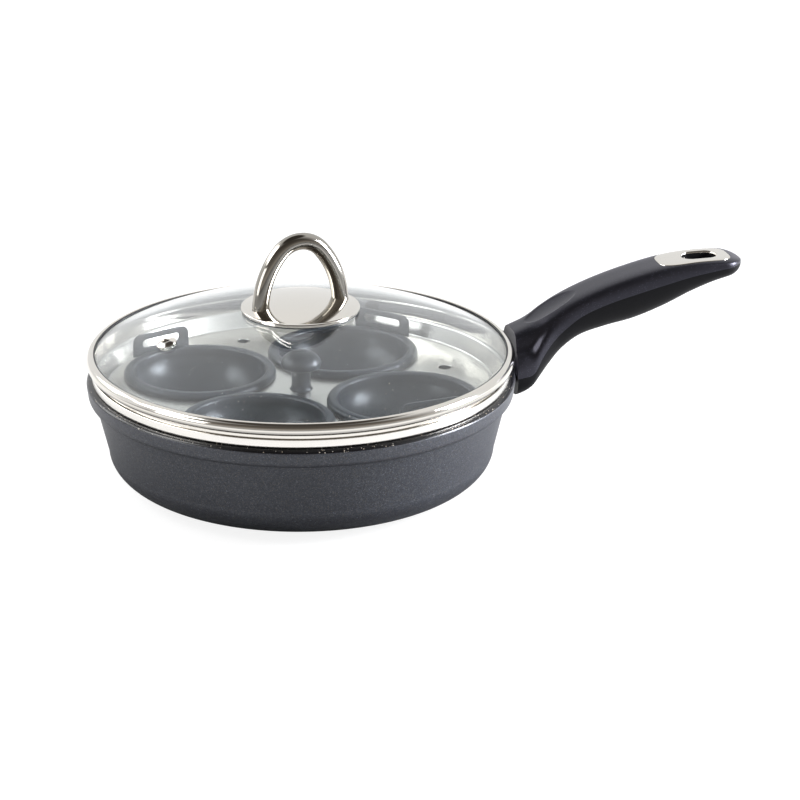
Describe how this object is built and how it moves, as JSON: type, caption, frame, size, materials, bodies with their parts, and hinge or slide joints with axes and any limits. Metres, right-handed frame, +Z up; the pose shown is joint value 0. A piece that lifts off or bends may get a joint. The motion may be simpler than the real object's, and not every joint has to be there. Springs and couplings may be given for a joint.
{
  "type": "egg poacher pan",
  "caption": "Round egg poacher pan: dark cast pan with a rising curved handle, steel insert tray with lift-out egg cups round a knob, and a domed glass lid with a loop handle.",
  "frame": {"origin": "centre of the underside of the pan's base, on the pan's axis", "axes": "+X from the pan's axis along the handle, +Z up, +Y completes the right-handed frame"},
  "size_m": [0.396, 0.252, 0.1496],
  "materials": {
    "coated_cast": "dark metallic non-stick coating with a fine fleck on cast aluminium",
    "satin_steel": "satin stainless steel",
    "polished_steel": "mirror-polished stainless steel",
    "grip_lower": "plain matte black heat-proof plastic",
    "grip_upper": "soft-touch black with fine pale specks",
    "knob_plastic": "satin grey coating with fine white specks on phenolic plastic",
    "coated_sheet": "satin grey non-stick coating with fine white specks on sheet aluminium",
    "lid_glass": "clear tempered glass",
    "seal": "dark silicone",
    "fastener": "plain stainless steel"
  },
  "bodies": {
    "pan": {"pan_body": "coated_cast", "base_disc": "satin_steel", "handle_lower": "grip_lower", "handle_upper": "grip_upper", "handle_inlay": "polished_steel", "handle_screw": "fastener"},
    "tray": {"tray_plate": "satin_steel", "tray_knob": "knob_plastic", "knob_washer": "fastener", "knob_screw": "fastener"},
    "cup_one": {"cup_1": "coated_sheet"},
    "cup_two": {"cup_2": "coated_sheet"},
    "cup_three": {"cup_3": "coated_sheet"},
    "cup_four": {"cup_4": "coated_sheet"},
    "lid": {"lid_glass": "lid_glass", "lid_band": "polished_steel", "lid_seal": "seal", "lid_plate": "polished_steel", "lid_loop": "polished_steel", "lid_gasket": "seal", "lid_washer": "seal", "lid_screw": "fastener", "vent_eyelet": "polished_steel"}
  },
  "joints": [
    {"name": "tray_lift", "type": "slide", "parent": "pan", "child": "tray", "axis": [0, 0, 1], "range_m": [0, 0.12]},
    {"name": "cup_one_lift", "type": "slide", "parent": "tray", "child": "cup_one", "axis": [0, 0, 1], "range_m": [0, 0.06]},
    {"name": "cup_two_lift", "type": "slide", "parent": "cup_one", "child": "cup_two", "axis": [0, 0, 1], "range_m": [0, 0.06]},
    {"name": "cup_three_lift", "type": "slide", "parent": "cup_two", "child": "cup_three", "axis": [0, 0, 1], "range_m": [0, 0.06]},
    {"name": "cup_four_lift", "type": "slide", "parent": "cup_three", "child": "cup_four", "axis": [0, 0, 1], "range_m": [0, 0.06]},
    {"name": "lid_lift", "type": "slide", "parent": "cup_four", "child": "lid", "axis": [0, 0, 1], "range_m": [0, 0.2]}
  ]
}
